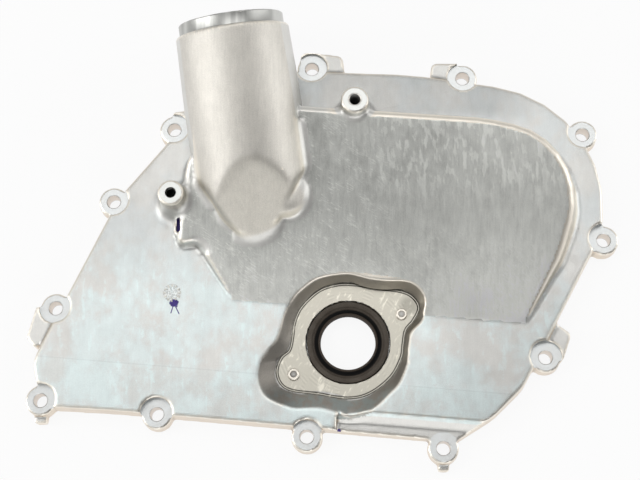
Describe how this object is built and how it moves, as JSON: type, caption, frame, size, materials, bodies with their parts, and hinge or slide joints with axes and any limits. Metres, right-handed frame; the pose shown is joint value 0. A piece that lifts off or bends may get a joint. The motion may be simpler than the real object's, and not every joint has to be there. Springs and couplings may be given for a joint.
{
  "type": "timing cover",
  "caption": "Cast aluminium timing cover with a sloped raised panel, an angled filler neck, a shaft seal in a shaped pocket and bolt ears round its edge.",
  "frame": {"origin": "centre of the cover's bounding box, on the mating plane", "axes": "+X to the right of the cover seen from outside, +Y towards the filler neck, +Z outwards from the engine"},
  "size_m": [0.2994, 0.2336, 0.0664],
  "materials": {
    "aluminium": "as-cast, with machined seats and spigot",
    "rubber": "matt black moulded rubber",
    "brushed_steel": "drawn wire"
  },
  "bodies": {
    "root": {"cover_casting": "aluminium", "shaft_seal": "rubber", "garter_spring": "brushed_steel"}
  },
  "joints": []
}
